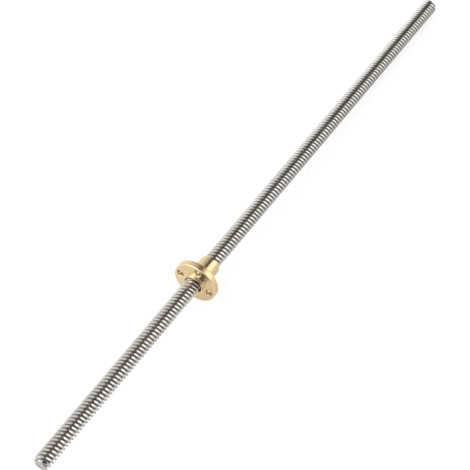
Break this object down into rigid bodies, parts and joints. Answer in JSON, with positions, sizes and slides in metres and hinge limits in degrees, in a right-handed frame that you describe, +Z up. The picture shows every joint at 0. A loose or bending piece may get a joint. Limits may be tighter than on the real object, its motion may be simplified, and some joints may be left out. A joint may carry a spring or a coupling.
{
  "type": "trapezoidal lead screw",
  "caption": "Steel trapezoidal lead screw with a flanged brass travelling nut, for turning rotation into linear travel.",
  "frame": {"origin": "on the resting surface, below the middle of the screw's length", "axes": "+X along the screw towards its far end, level with the surface, +Z up. The screw's own axis leans 1.7 degrees down towards +X, because the screw lies on the flange's rim and on its far end."},
  "size_m": [0.35, 0.022, 0.0221],
  "materials": {
    "steel": "cold-rolled thread, bright crests over darker roots, slightly oiled",
    "brass": "fine-turned and polished"
  },
  "bodies": {
    "screw": {"lead_screw": "steel"},
    "nut": {"flanged_nut": "brass"}
  },
  "joints": [
    {"name": "nut_travel", "type": "slide", "parent": "screw", "child": "nut", "axis": [0.9995, 0, -0.0306], "range_m": [-0.112, 0.216]}
  ]
}
